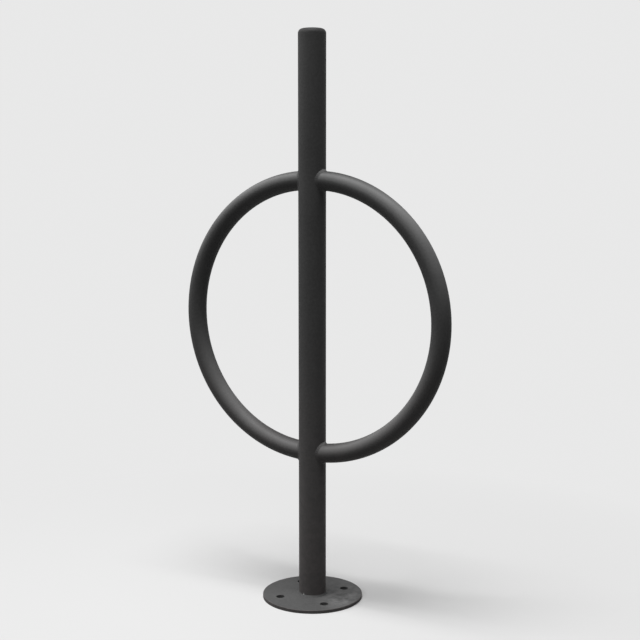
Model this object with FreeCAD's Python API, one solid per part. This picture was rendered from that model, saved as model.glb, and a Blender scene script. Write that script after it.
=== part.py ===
"""Post and ring bike rack: a bolt-down steel post that carries two coped half rings.

Frame: +Z up, origin on the post's axis at the underside of the base plate.
The ring stands in the XZ plane. All sizes are in millimetres and degrees.
"""

import FreeCAD
import Part
import math
import os

# Post: 40 mm nominal pipe
POST_DIAMETER = 48.3
POST_WALL = 3.2
RACK_HEIGHT = 1000.0

# Ring: 25 mm nominal pipe, bent as two halves
RING_TUBE_DIAMETER = 33.7
RING_TUBE_WALL = 3.2
RING_BEND_RADIUS = 239.0
RING_CENTRE_OFFSET = 7.0
RING_CENTRE_HEIGHT = 504.0

# Base plate and its anchor holes
PLATE_DIAMETER = 178.0
PLATE_THICKNESS = 6.0
PLATE_EDGE_RADIUS = 0.8
ANCHOR_CIRCLE = 121.5
ANCHOR_HOLE_DIAMETER = 15.0
ANCHOR_COUNT = 4
ANCHOR_START_ANGLE = 50.0
DRAIN_DIAMETER = 25.0

# Pressed cap on top of the post
CAP_WALL = 3.0
CAP_HEIGHT = 14.0
CAP_CORNER_RADIUS = 8.0
CAP_CROWN_RISE = 1.2

# Welds and the holes that let zinc and air through the hollow pieces
BASE_WELD_LEG = 3.0
CAP_GROOVE_DEPTH = 2.0
RING_WELD_LEG = 3.5
VENT_DIAMETER = 10.0

UP = FreeCAD.Vector(0, 0, 1)
ALONG_X = FreeCAD.Vector(1, 0, 0)
ALONG_Y = FreeCAD.Vector(0, 1, 0)
ORIGIN = FreeCAD.Vector(0, 0, 0)
MARGIN = 10.0

post_radius = POST_DIAMETER / 2
post_bore_radius = post_radius - POST_WALL
ring_tube_radius = RING_TUBE_DIAMETER / 2
ring_bore_radius = ring_tube_radius - RING_TUBE_WALL
cap_seam_height = RACK_HEIGHT - CAP_HEIGHT
ring_joint_rise = math.sqrt(RING_BEND_RADIUS**2 - (post_radius - RING_CENTRE_OFFSET) ** 2)
joint_heights = {
    "upper": RING_CENTRE_HEIGHT + ring_joint_rise,
    "lower": RING_CENTRE_HEIGHT - ring_joint_rise,
}
sides = {"right": 1, "left": -1}


def point(x, z):
    """A point of a turned profile, in the XZ plane."""
    return FreeCAD.Vector(x, 0, z)


def turned(edges):
    """The solid swept by a closed profile of edges about the post's axis."""
    face = Part.Face(Part.Wire(edges))
    return face.revolve(ORIGIN, UP, 360)


def polygon_edges(points):
    """Straight edges through the points and back to the first."""
    following = points[1:] + points[:1]
    return [Part.LineSegment(a, b).toShape() for a, b in zip(points, following)]


def base_plate():
    """Round plate with broken edges, anchor holes and a drain under the post's bore."""
    plate = Part.makeCylinder(PLATE_DIAMETER / 2, PLATE_THICKNESS)
    plate = plate.makeFillet(PLATE_EDGE_RADIUS, [e for e in plate.Edges if e.Closed])
    cutters = [Part.makeCylinder(DRAIN_DIAMETER / 2, PLATE_THICKNESS)]
    for number in range(ANCHOR_COUNT):
        angle = math.radians(ANCHOR_START_ANGLE + number * 360 / ANCHOR_COUNT)
        place = FreeCAD.Vector(math.cos(angle), math.sin(angle), 0) * (ANCHOR_CIRCLE / 2)
        cutters.append(Part.makeCylinder(ANCHOR_HOLE_DIAMETER / 2, PLATE_THICKNESS, place))
    return plate.cut(cutters)


def post_tube():
    """Pipe from the plate to the cap, bevelled for the cap's weld and vented into the ring."""
    tube = turned(
        polygon_edges(
            [
                point(post_bore_radius, PLATE_THICKNESS),
                point(post_radius, PLATE_THICKNESS),
                point(post_radius, cap_seam_height - CAP_GROOVE_DEPTH),
                point(post_radius - CAP_GROOVE_DEPTH, cap_seam_height),
                point(post_bore_radius, cap_seam_height),
            ]
        )
    )
    vents = [
        Part.makeCylinder(VENT_DIAMETER / 2, POST_DIAMETER, point(-post_radius, height), ALONG_X)
        for height in joint_heights.values()
    ]
    return tube.cut(vents)


def crown_profile(inset):
    """Edges of the cap's section from its wall over the corner to the axis, moved in by inset."""
    wall_x = post_radius - inset
    corner = CAP_CORNER_RADIUS - inset
    corner_x = post_radius - CAP_CORNER_RADIUS
    corner_z = RACK_HEIGHT - CAP_CROWN_RISE - CAP_CORNER_RADIUS
    slope = 2 * math.atan(CAP_CROWN_RISE / corner_x)
    turn = math.radians(90) - slope
    on_corner = [
        point(corner_x + corner * math.cos(a), corner_z + corner * math.sin(a))
        for a in (0, turn / 2, turn)
    ]
    peak = point(0, RACK_HEIGHT - inset)
    crown_radius = (on_corner[2].x**2 + (peak.z - on_corner[2].z) ** 2) / (2 * (peak.z - on_corner[2].z))
    half_way = math.asin(on_corner[2].x / crown_radius) / 2
    on_crown = point(crown_radius * math.sin(half_way), peak.z - crown_radius * (1 - math.cos(half_way)))
    return point(wall_x, corner_z), peak, [
        Part.Arc(*on_corner).toShape(),
        Part.Arc(on_corner[2], on_crown, peak).toShape(),
    ]


def top_cap():
    """Pressed cap of even wall, bevelled below for its weld."""
    outer_start, outer_peak, outer_edges = crown_profile(0)
    inner_start, inner_peak, inner_edges = crown_profile(CAP_WALL)
    bevel_top = point(post_radius, cap_seam_height + CAP_GROOVE_DEPTH)
    bevel_foot = point(post_radius - CAP_GROOVE_DEPTH, cap_seam_height)
    inner_foot = point(post_radius - CAP_WALL, cap_seam_height)
    straight = [
        (inner_peak, outer_peak),
        (outer_start, bevel_top),
        (bevel_top, bevel_foot),
        (bevel_foot, inner_foot),
        (inner_foot, inner_start),
    ]
    edges = outer_edges + inner_edges + [Part.LineSegment(a, b).toShape() for a, b in straight]
    return turned(Part.__sortEdges__(edges))


def cap_weld():
    """Weld that fills the groove between post and cap, dressed flush."""
    return turned(
        polygon_edges(
            [
                point(post_radius, cap_seam_height - CAP_GROOVE_DEPTH),
                point(post_radius, cap_seam_height + CAP_GROOVE_DEPTH),
                point(post_radius - CAP_GROOVE_DEPTH, cap_seam_height),
            ]
        )
    )


def base_weld():
    """Fillet weld all round the foot of the post."""
    return turned(
        polygon_edges(
            [
                point(post_radius, PLATE_THICKNESS),
                point(post_radius + BASE_WELD_LEG, PLATE_THICKNESS),
                point(post_radius, PLATE_THICKNESS + BASE_WELD_LEG),
            ]
        )
    )


def half_ring(side, tube_radius):
    """Half a round bar bent about the ring's centre, reaching into the post."""
    centre = FreeCAD.Vector(side * RING_CENTRE_OFFSET, 0, RING_CENTRE_HEIGHT)
    start = centre - UP * RING_BEND_RADIUS
    section = Part.Face(Part.Wire(Part.makeCircle(tube_radius, start, ALONG_X)))
    return section.revolve(centre, ALONG_Y, -180 * side)


def post_bar(from_height, to_height):
    """The post's outside as a plain bar between two heights."""
    return Part.makeCylinder(post_radius, to_height - from_height, point(0, from_height))


def ring_half(side):
    """Bent pipe whose two ends are coped to the outside of the post."""
    pipe = half_ring(side, ring_tube_radius).cut(half_ring(side, ring_bore_radius))
    return pipe.cut(post_bar(0, RACK_HEIGHT))


def ring_weld(side, height):
    """Fillet weld round one coped end, as the flat that joins the pipe to the post."""
    reach = ring_tube_radius + 2 * RING_WELD_LEG + MARGIN
    window = Part.makeBox(
        post_radius + reach, 2 * reach, 2 * reach,
        FreeCAD.Vector(0 if side > 0 else -post_radius - reach, -reach, height - reach),
    )
    post = post_bar(height - 2 * reach, height + 2 * reach)
    pipe = half_ring(side, ring_tube_radius).common(window)
    joined = post.fuse(pipe)
    saddle = [edge for edge in joined.Edges if is_saddle(edge, side, height)]
    welded = joined.makeChamfer(RING_WELD_LEG, saddle)
    return welded.cut([post, pipe])


def is_saddle(edge, side, height):
    """True for an edge that lies on the post's wall round the end of the pipe."""
    places = [edge.valueAt(edge.FirstParameter + share * (edge.LastParameter - edge.FirstParameter))
              for share in (0.1, 0.5, 0.9)]
    on_wall = all(abs(math.hypot(p.x, p.y) - post_radius) < 0.01 for p in places)
    near = all(abs(p.z - height) < ring_tube_radius + 1 and p.x * side > 0 for p in places)
    return on_wall and near


def pieces():
    """Every piece of the rack by its name."""
    made = {
        "base_plate": base_plate(),
        "post_tube": post_tube(),
        "top_cap": top_cap(),
        "cap_weld": cap_weld(),
        "base_weld": base_weld(),
    }
    for side_name, side in sides.items():
        made["ring_half_" + side_name] = ring_half(side)
        for level, height in joint_heights.items():
            made[f"ring_weld_{level}_{side_name}"] = ring_weld(side, height)
    return made


os.makedirs("parts", exist_ok=True)
for name, shape in pieces().items():
    print(name, "solids", len(shape.Solids), "valid", shape.isValid(), "volume", round(shape.Volume, 1))
    shape.exportStep(f"parts/{name}.step")
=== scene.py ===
import math

import bpy
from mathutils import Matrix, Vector


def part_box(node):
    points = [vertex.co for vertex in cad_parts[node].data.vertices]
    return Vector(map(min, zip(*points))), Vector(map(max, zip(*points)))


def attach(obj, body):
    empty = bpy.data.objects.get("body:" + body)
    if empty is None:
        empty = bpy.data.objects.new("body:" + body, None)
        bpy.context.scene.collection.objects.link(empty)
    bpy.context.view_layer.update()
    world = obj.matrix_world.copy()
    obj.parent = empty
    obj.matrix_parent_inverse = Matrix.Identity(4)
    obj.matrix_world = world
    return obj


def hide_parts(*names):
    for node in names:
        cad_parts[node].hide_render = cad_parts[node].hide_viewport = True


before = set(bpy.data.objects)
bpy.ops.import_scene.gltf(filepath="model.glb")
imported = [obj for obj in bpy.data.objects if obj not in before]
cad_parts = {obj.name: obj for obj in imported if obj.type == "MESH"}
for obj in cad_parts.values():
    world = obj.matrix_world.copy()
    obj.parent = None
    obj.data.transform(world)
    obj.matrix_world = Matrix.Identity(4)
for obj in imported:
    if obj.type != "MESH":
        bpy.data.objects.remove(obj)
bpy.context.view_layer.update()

# Looks of a post and ring bike rack: satin charcoal powder coat over welded steel tube.
# The values below are in metres, in degrees unless their name says radians, and in linear colours.
# A pattern is the width of its blotches and the levels of finer detail in them.

# Camera at the photograph's viewing angle
CAMERA_PLACE = (1.0305, -1.7625, 0.762)
CAMERA_TURN = 29.935
CAMERA_PITCH_DOWN = 7.296
CAMERA_LENS = 66.21
CAMERA_SENSOR = 36.0

# Parts of a pattern's range over which a blotch goes from none to full
SOFT_EDGE = (0.3, 0.7)
RAGGED_EDGE = (0.35, 0.65)

# Powder coat on the tubes
COAT_DARK = (0.043, 0.043, 0.043, 1.0)
COAT_LIGHT = (0.063, 0.063, 0.063, 1.0)
COAT_ROUGHNESS = (0.62, 0.70)
COAT_SPECULAR = 0.16
CLOUD_PATTERN = (0.06, 6.0)
MOTTLE_PATTERN = (0.004, 2.0)
MOTTLE_SHARE = 0.55
GLOSS_PATTERN = (0.015, 3.0)
PEEL_PATTERN = (0.0035, 1.0)
PEEL_HEIGHT = 0.00014
GRAIN_PATTERN = (0.0009, 2.0)
GRAIN_HEIGHT = 0.00003

# Cap, with painted shade on its top
CAP_ROUGHNESS = (0.60, 0.70)
CAP_TOP_SHADE_COLOUR = (0.018, 0.018, 0.018, 1.0)
CAP_TOP_SHADE_COVER = 0.9

# Dust and painted sheen on what faces up: on the tubes the lighter tops are mostly a painted highlight,
# on the plate and foot a little real dust
DUST_AND_PAINTED_LIGHT_COLOUR = (0.24, 0.24, 0.24, 1.0)
DUST_AND_SHEEN_ROUGHNESS = 0.80
TUBE_DUST_AND_SHEEN = 0.72
PLATE_DUST = 0.05
CAP_DUST = 0.0
UPWARD_COVER_PATTERN = (0.03, 6.0)
UPWARD_COVER_LEAST = 0.8
UPWARD_COVER_SLOPE = (0.0, 0.8)

# Painted shade on the crown of the ring, darker where it faces most nearly straight up
CROWN_SHADE_COLOUR = (0.040, 0.040, 0.040, 1.0)
CROWN_SHADE_COVER = 1.0
CROWN_SHADE_SLOPE = (0.68, 0.98)

# Road dirt on the foot of the post
SPLASH_COLOUR = (0.132, 0.118, 0.116, 1.0)
SPLASH_HEIGHT = 0.5
SPLASH_COVER = 0.55
SPLASH_PATTERN = (0.012, 6.0)
SPLASH_LEAST = 0.5

# Trodden and scuffed coat on the base plate, with painted light over the post's shadow
PLATE_DARK = (0.043, 0.043, 0.043, 1.0)
PLATE_LIGHT = (0.065, 0.065, 0.065, 1.0)
PLATE_ROUGHNESS = (0.58, 0.70)
RIM_WEAR_COLOUR = (0.090, 0.083, 0.081, 1.0)
RIM_WEAR_REACH = 0.0025
RIM_WEAR_PATTERN = (0.0075, 5.0)
RIM_WEAR_LEAST = 0.45
# Spots on the plate: the first is a dusty scuff, and its wide reach and the second spot are painted
# light over the post's shadow on the plate's right and back
SCUFF_AND_LIFT_PATTERN = (0.011, 5.0)
SCUFFS_AND_SHADOW_LIFTS = [
    {"spot": (0.0665, -0.0100), "reach": 0.050, "cover": 0.42},
    {"spot": (0.0550, 0.0350), "reach": 0.070, "cover": 0.30},
]

# Chip at the foot of the post that bares the zinc
CHIP_PLACE = (-0.0046, -0.0245, 0.0100)
CHIP_REACH = 0.0034
CHIP_PATTERN = (0.0017, 3.0)
CHIP_RAGGEDNESS = 0.25
CHIP_EDGE = (0.45, 0.60)
ZINC_COLOUR = (0.30, 0.30, 0.30, 1.0)

# Weld beads
RING_WELD_LEG = 0.0036
BASE_WELD_LEG = 0.0031
BEAD_CROWN_SHARE = -0.06
RIPPLE_PITCH = 0.0032
RIPPLE_SHARE = 0.07
RIPPLE_LAG = 0.0018
STEPS_PER_RIPPLE = 6
STEPS_ACROSS = 8
TOE_SINK = 0.0003
ROOT_SINK = 0.0006
TANGENT_STEP_RADIANS = 0.01

# Floor, surroundings and lamps
PALE = (0.811, 0.811, 0.811, 1.0)
FLOOR_LIT = (0.57, 0.57, 0.57, 1.0)
FLOOR_BOUNCE = (0.14, 0.14, 0.14, 1.0)
FLOOR_REACH = 12.0
FLOOR_LIT_REACH = 0.30
FLOOR_PLAIN_REACH = 0.95
SKY_STRENGTH = 0.08
LAMPS = {
    "ceiling": {
        "place": (-0.30, -1.20, 6.5),
        "turn": 0.0,
        "tilt": 0.0,
        "size": (4.4, 3.0),
        "watts": 620.0,
    },
    "left": {
        "place": (-5.46, -1.76, 3.66),
        "turn": 18.0,
        "tilt": -60.0,
        "size": (2.2, 2.6),
        "watts": 105.0,
    },
}

BODY = "root"

# Sizes from the pieces' boxes. The ring's outside meets the post's wall at the top of its box.
post_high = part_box("post_tube")[1]
ring_low, ring_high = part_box("ring_half_right")
plate_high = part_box("base_plate")[1]
post_radius = post_high.x
pipe_radius = ring_high.y
plate_radius = plate_high.x
plate_top = plate_high.z
ring_reach = ring_high.x
ring_middle = (ring_low.z + ring_high.z) / 2
ring_half_height = ring_high.z - ring_middle
ring_offset = (ring_reach**2 - ring_half_height**2 - post_radius**2) / (2 * (ring_reach - post_radius))
bend_radius = ring_reach - ring_offset - pipe_radius


def new_material(name):
    """An empty node material, and a function that adds shader nodes to it with their inputs set."""
    material = bpy.data.materials.new(name)
    material.use_nodes = True
    return material, node_adder(material.node_tree)


def node_adder(tree):
    """A function that adds a node to a cleared tree. An input takes a value or another node's output."""
    tree.nodes.clear()

    def add(kind, inputs, **settings):
        node = tree.nodes.new(kind)
        for name, value in settings.items():
            setattr(node, name, value)
        for name, value in inputs.items():
            if isinstance(value, bpy.types.NodeSocket):
                tree.links.new(value, node.inputs[name])
            else:
                node.inputs[name].default_value = value
        return node

    return add


def arithmetic(add, operation, first, second):
    """One sum, product or like of two numbers, kept from 0 to 1."""
    node = add("ShaderNodeMath", {0: first, 1: second}, operation=operation, use_clamp=True)
    return node.outputs["Value"]


def spread(add, factor, start, end, low=0.0, high=1.0):
    """A number that goes from low to high as the factor goes from start to end."""
    inputs = {"Value": factor, "From Min": start, "From Max": end, "To Min": low, "To Max": high}
    return add("ShaderNodeMapRange", inputs).outputs["Result"]


def blended(add, factor, first, second):
    """A colour between two, by the factor."""
    inputs = {"Factor": factor, 6: first, 7: second}
    return add("ShaderNodeMix", inputs, data_type="RGBA").outputs[2]


def noise(add, place, pattern):
    """A cloudy pattern from 0 to 1."""
    width, detail = pattern
    inputs = {"Vector": place, "Scale": 1.0 / width, "Detail": detail}
    return add("ShaderNodeTexNoise", inputs).outputs["Fac"]


def patches(add, place, pattern, edge, low=0.0, high=1.0):
    """Blotches of a pattern that go from low to high across their edges."""
    return spread(add, noise(add, place, pattern), *edge, low, high)


def length(add, vector):
    """How long a vector is."""
    return add("ShaderNodeVectorMath", {0: vector}, operation="LENGTH").outputs["Value"]


def near(add, place, spot, reach):
    """1 at a spot, falling to 0 at its reach."""
    distance = add("ShaderNodeVectorMath", {0: place, 1: spot}, operation="DISTANCE").outputs["Value"]
    return spread(add, distance, 0.0, reach, 1.0, 0.0)


def tilted(add, height, depth, normal=None):
    """The surface's normal, tilted by a height pattern."""
    inputs = {"Height": height, "Distance": depth}
    if normal is not None:
        inputs["Normal"] = normal
    return add("ShaderNodeBump", inputs).outputs["Normal"]


def peel_normal(add, place):
    """The orange peel and fine grain of a baked powder coat."""
    peel = tilted(add, noise(add, place, PEEL_PATTERN), PEEL_HEIGHT)
    return tilted(add, noise(add, place, GRAIN_PATTERN), GRAIN_HEIGHT, peel)


def upward(add):
    """How far the surface faces up: 1 where it is level, 0 where it is upright."""
    facing = add("ShaderNodeNewGeometry", {}).outputs["Normal"]
    return add("ShaderNodeSeparateXYZ", {"Vector": facing}).outputs["Z"]


def upward_cover(add, place, most):
    """A patchy cover, only where the surface faces up. It carries the coats' dust and painted sheen and
    the painted shade on the cap's top.
    """
    lying = spread(add, upward(add), *UPWARD_COVER_SLOPE, 0.0, most)
    patchy = patches(add, place, UPWARD_COVER_PATTERN, SOFT_EDGE, UPWARD_COVER_LEAST, 1.0)
    return arithmetic(add, "MULTIPLY", lying, patchy)


def powder_coat(name, dark, light, roughness, most_dust_and_sheen, marks):
    """Clouded and mottled satin powder coat with orange peel, dust and painted sheen on what faces up,
    and marks over it in order.
    """
    material, add = new_material(name)
    place = add("ShaderNodeTexCoord", {}).outputs["Object"]
    clouds = patches(add, place, CLOUD_PATTERN, SOFT_EDGE, 0.0, 1.0 - MOTTLE_SHARE)
    mottle = patches(add, place, MOTTLE_PATTERN, SOFT_EDGE, 0.0, MOTTLE_SHARE)
    colour = blended(add, arithmetic(add, "ADD", clouds, mottle), dark, light)
    gloss = patches(add, place, GLOSS_PATTERN, SOFT_EDGE, *roughness)
    # Lighter cover where the coat faces up: real dust on the plate and foot, mostly a painted highlight
    # on the tubes
    dust_and_sheen = upward_cover(add, place, most_dust_and_sheen)
    colour = blended(add, dust_and_sheen, colour, DUST_AND_PAINTED_LIGHT_COLOUR)
    gloss = spread(add, dust_and_sheen, 0.0, 1.0, gloss, DUST_AND_SHEEN_ROUGHNESS)
    for mark, mark_colour in marks:
        colour = blended(add, mark(add, place), colour, mark_colour)
    inputs = {
        "Base Color": colour,
        "Roughness": gloss,
        "Normal": peel_normal(add, place),
        "Specular IOR Level": COAT_SPECULAR,
    }
    shader = add("ShaderNodeBsdfPrincipled", inputs)
    add("ShaderNodeOutputMaterial", {"Surface": shader.outputs["BSDF"]})
    return material


def crown_shade(add, place):
    """Painted shade on the crown of the ring, where it faces most nearly up."""
    return spread(add, upward(add), *CROWN_SHADE_SLOPE, 0.0, CROWN_SHADE_COVER)


def cap_top_shade(add, place):
    """Painted shade on the top of the cap, patchy, where it faces up."""
    return upward_cover(add, place, CAP_TOP_SHADE_COVER)


def scuffs_and_shadow_lift(add, place):
    """A broad dusty scuff on the plate, with painted light spread over the post's shadow on its right
    and back.
    """
    cover = 0.0
    for facts in SCUFFS_AND_SHADOW_LIFTS:
        close = near(add, place, (*facts["spot"], plate_top), facts["reach"])
        spot_cover = arithmetic(add, "MULTIPLY", close, facts["cover"])
        cover = arithmetic(add, "ADD", cover, spot_cover)
    ragged = patches(add, place, SCUFF_AND_LIFT_PATTERN, RAGGED_EDGE)
    return arithmetic(add, "MULTIPLY", cover, ragged)


def splash(add, place):
    """Road dirt splashed up from the ground, thinning out with height."""
    height = add("ShaderNodeSeparateXYZ", {"Vector": place}).outputs["Z"]
    thinning = spread(add, height, 0.0, SPLASH_HEIGHT, SPLASH_COVER, 0.0)
    spatter = patches(add, place, SPLASH_PATTERN, SOFT_EDGE, SPLASH_LEAST, 1.0)
    return arithmetic(add, "MULTIPLY", thinning, spatter)


def rim_wear(add, place):
    """Broken patches along the plate's rim where the coat is rubbed."""
    flat = add("ShaderNodeVectorMath", {0: place, 1: (1.0, 1.0, 0.0)}, operation="MULTIPLY").outputs[0]
    at_rim = spread(add, length(add, flat), plate_radius - RIM_WEAR_REACH, plate_radius)
    broken = patches(add, place, RIM_WEAR_PATTERN, RAGGED_EDGE, RIM_WEAR_LEAST, 1.0)
    return arithmetic(add, "MULTIPLY", at_rim, broken)


def chip(add, place):
    """A small ragged chip in the coat."""
    close = near(add, place, CHIP_PLACE, CHIP_REACH)
    ragged = spread(add, noise(add, place, CHIP_PATTERN), 0.0, 1.0, -CHIP_RAGGEDNESS, CHIP_RAGGEDNESS)
    return spread(add, arithmetic(add, "ADD", close, ragged), *CHIP_EDGE)


def painted(piece, material):
    """Puts the finish on a piece, in place of any that it had."""
    piece.data.materials.clear()
    piece.data.materials.append(material)


def new_piece(name, points, faces):
    """A smooth mesh object in the scene."""
    mesh = bpy.data.meshes.new(name)
    mesh.from_pydata(points, [], faces)
    mesh.shade_smooth()
    piece = bpy.data.objects.new(name, mesh)
    bpy.context.scene.collection.objects.link(piece)
    return piece


def bead(name, root, toe_a, toe_b, replaced, material):
    """A closed weld bead along three lines of points: its hidden root and its two toes, with ripples."""
    count = len(root)
    along = [0.0]
    for i in range(count):
        along.append(along[-1] + (root[(i + 1) % count] - root[i]).length)
    ripples = round(along[-1] / RIPPLE_PITCH)
    points = []
    for i in range(count):
        throat = (toe_a[i] + toe_b[i]) / 2 - root[i]
        points.append(root[i])
        for j in range(STEPS_ACROSS + 1):
            share = j / STEPS_ACROSS
            hump = 4 * share * (1 - share)
            turn = math.pi * (along[i] + RIPPLE_LAG * hump) / along[-1] * ripples
            rise = BEAD_CROWN_SHARE + RIPPLE_SHARE * abs(math.sin(turn))
            points.append(toe_a[i].lerp(toe_b[i], share) + throat * rise * hump)
    row = STEPS_ACROSS + 2
    faces = []
    for i in range(count):
        following = (i + 1) % count
        for j in range(row):
            beside = (j + 1) % row
            faces.append((i * row + j, i * row + beside, following * row + beside, following * row + j))
    piece = new_piece(name, points, faces)
    painted(piece, material)
    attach(piece, BODY)
    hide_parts(replaced)


def bead_steps(bead_length):
    """Angles once round a bead of about this length, a few for each ripple."""
    count = round(bead_length / RIPPLE_PITCH) * STEPS_PER_RIPPLE
    return [2 * math.pi * i / count for i in range(count)]


def on_pipe(side, level, around, away, sink=0.0):
    """A point on the ring's pipe: an angle around its section, and a way along it from the post."""
    section = pipe_radius - sink
    path_radius = bend_radius + section * math.cos(around)
    y = section * math.sin(around)
    start_x = math.sqrt((post_radius - sink) ** 2 - y**2)
    turn = math.acos((start_x - ring_offset) / path_radius) - away / path_radius
    x = ring_offset + path_radius * math.cos(turn)
    rise = path_radius * math.sin(turn)
    return Vector((side * x, y, ring_middle + level * rise))


def on_post(side, level, around, away):
    """A point on the post, a way out from the edge where the pipe meets it."""
    shifts = (-TANGENT_STEP_RADIANS, 0.0, TANGENT_STEP_RADIANS)
    before, here, after = [unrolled(on_pipe(side, level, around + shift, 0.0), side) for shift in shifts]
    tangent = (after - before).normalized()
    outward = Vector((tangent.y, -tangent.x))
    middle = Vector((0.0, ring_middle + level * bend_radius))
    if outward.dot(here - middle) < 0:
        outward = -outward
    toe = here + outward * away
    turn = toe.x / post_radius
    reach = post_radius - TOE_SINK
    return Vector((side * reach * math.cos(turn), reach * math.sin(turn), toe.y))


def unrolled(point, side):
    """A point of the post's wall on the flat sheet that the wall unrolls to."""
    return Vector((post_radius * math.atan2(point.y, side * point.x), point.z))


def ring_bead(side, side_name, level, level_name, material):
    """The fillet weld round one coped end of the ring. Its toes swap where it is mirrored."""
    steps = bead_steps(2 * math.pi * pipe_radius)
    root = [on_pipe(side, level, a, 0.0, ROOT_SINK) for a in steps]
    on_wall = [on_post(side, level, a, RING_WELD_LEG) for a in steps]
    on_ring = [on_pipe(side, level, a, RING_WELD_LEG, TOE_SINK) for a in steps]
    toes = (on_wall, on_ring) if side == level else (on_ring, on_wall)
    cad_name = f"ring_weld_{level_name}_{side_name}"
    bead(f"ring_bead_{level_name}_{side_name}", root, *toes, cad_name, material)


def base_bead(material):
    """The fillet weld round the foot of the post."""
    steps = bead_steps(2 * math.pi * post_radius)
    rays = [Vector((math.cos(a), math.sin(a), 0.0)) for a in steps]
    foot_height = Vector((0.0, 0.0, plate_top - TOE_SINK))
    wall_height = Vector((0.0, 0.0, plate_top + BASE_WELD_LEG))
    root = [ray * (post_radius - TOE_SINK) + foot_height for ray in rays]
    on_plate = [ray * (post_radius + BASE_WELD_LEG) + foot_height for ray in rays]
    on_wall = [ray * (post_radius - TOE_SINK) + wall_height for ray in rays]
    bead("base_bead", root, on_wall, on_plate, "base_weld", material)


def seen_plainly(add):
    """1 for what the camera, a reflection or a clear thing shows, and 0 for light that bounces."""
    path = add("ShaderNodeLightPath", {}).outputs
    shown = arithmetic(add, "ADD", path["Is Camera Ray"], path["Is Glossy Ray"])
    return arithmetic(add, "ADD", shown, path["Is Transmission Ray"])


def floor():
    """A pale floor that takes the shadow near the rack and goes plain further out."""
    reach = FLOOR_REACH
    corners = [(-reach, -reach, 0.0), (reach, -reach, 0.0), (reach, reach, 0.0), (-reach, reach, 0.0)]
    piece = new_piece("floor", corners, [(0, 1, 2, 3)])
    material, add = new_material("floor_pale")
    shown = seen_plainly(add)
    lit_colour = blended(add, shown, FLOOR_BOUNCE, FLOOR_LIT)
    lit = add("ShaderNodeBsdfDiffuse", {"Color": lit_colour}).outputs["BSDF"]
    plain = add("ShaderNodeEmission", {"Color": PALE, "Strength": 1.0}).outputs["Emission"]
    place = add("ShaderNodeTexCoord", {}).outputs["Object"]
    far = spread(add, length(add, place), FLOOR_LIT_REACH, FLOOR_PLAIN_REACH)
    far_shown = arithmetic(add, "MULTIPLY", far, shown)
    surface = add("ShaderNodeMixShader", {"Fac": far_shown, 1: lit, 2: plain}).outputs["Shader"]
    add("ShaderNodeOutputMaterial", {"Surface": surface})
    piece.data.materials.append(material)


def surroundings():
    """A plain pale background round a dim, even room."""
    world = bpy.data.worlds.new("surroundings")
    bpy.context.scene.world = world
    world.use_nodes = True
    add = node_adder(world.node_tree)
    strength = spread(add, seen_plainly(add), 0.0, 1.0, SKY_STRENGTH, 1.0)
    shader = add("ShaderNodeBackground", {"Color": PALE, "Strength": strength})
    add("ShaderNodeOutputWorld", {"Surface": shader.outputs["Background"]})


def lamp(name, place, turn, tilt, size, watts):
    """A soft panel that faces down, tilted and then turned about the vertical."""
    data = bpy.data.lights.new(name, "AREA")
    data.shape = "RECTANGLE"
    data.size, data.size_y = size
    data.energy = watts
    piece = bpy.data.objects.new(name, data)
    piece.location = place
    piece.rotation_euler = (0.0, math.radians(tilt), math.radians(turn))
    bpy.context.scene.collection.objects.link(piece)


def camera():
    """The camera at the photograph's place and angle."""
    data = bpy.data.cameras.new("camera")
    data.sensor_width = CAMERA_SENSOR
    data.lens = CAMERA_LENS
    piece = bpy.data.objects.new("camera", data)
    piece.location = CAMERA_PLACE
    piece.rotation_euler = (math.radians(90 - CAMERA_PITCH_DOWN), 0.0, math.radians(CAMERA_TURN))
    bpy.context.scene.collection.objects.link(piece)
    bpy.context.scene.camera = piece


# The tubes' heavy top cover is mostly painted sheen, and their crown mark is painted shade
tube_coat = powder_coat(
    "tube_coat", COAT_DARK, COAT_LIGHT, COAT_ROUGHNESS, TUBE_DUST_AND_SHEEN,
    [(crown_shade, CROWN_SHADE_COLOUR), (splash, SPLASH_COLOUR), (chip, ZINC_COLOUR)],
)
# The cap's top mark is painted shade
cap_coat = powder_coat(
    "cap_coat", COAT_DARK, COAT_LIGHT, CAP_ROUGHNESS, CAP_DUST,
    [(cap_top_shade, CAP_TOP_SHADE_COLOUR)],
)
foot_coat = powder_coat(
    "foot_coat", PLATE_DARK, PLATE_LIGHT, PLATE_ROUGHNESS, PLATE_DUST,
    [(chip, ZINC_COLOUR)],
)
# The plate's scuff mark also carries painted light over the post's shadow
plate_coat = powder_coat(
    "plate_coat", PLATE_DARK, PLATE_LIGHT, PLATE_ROUGHNESS, PLATE_DUST,
    [(scuffs_and_shadow_lift, DUST_AND_PAINTED_LIGHT_COLOUR), (rim_wear, RIM_WEAR_COLOUR)],
)
node_coats = {"base_plate": plate_coat, "top_cap": cap_coat}
for name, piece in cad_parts.items():
    painted(piece, node_coats.get(name, tube_coat))
base_bead(foot_coat)
for side_name, side in (("right", 1), ("left", -1)):
    for level_name, level in (("upper", 1), ("lower", -1)):
        ring_bead(side, side_name, level, level_name, tube_coat)
floor()
surroundings()
for name, facts in LAMPS.items():
    lamp(name, **facts)
camera()
bpy.context.scene.view_settings.view_transform = "Standard"
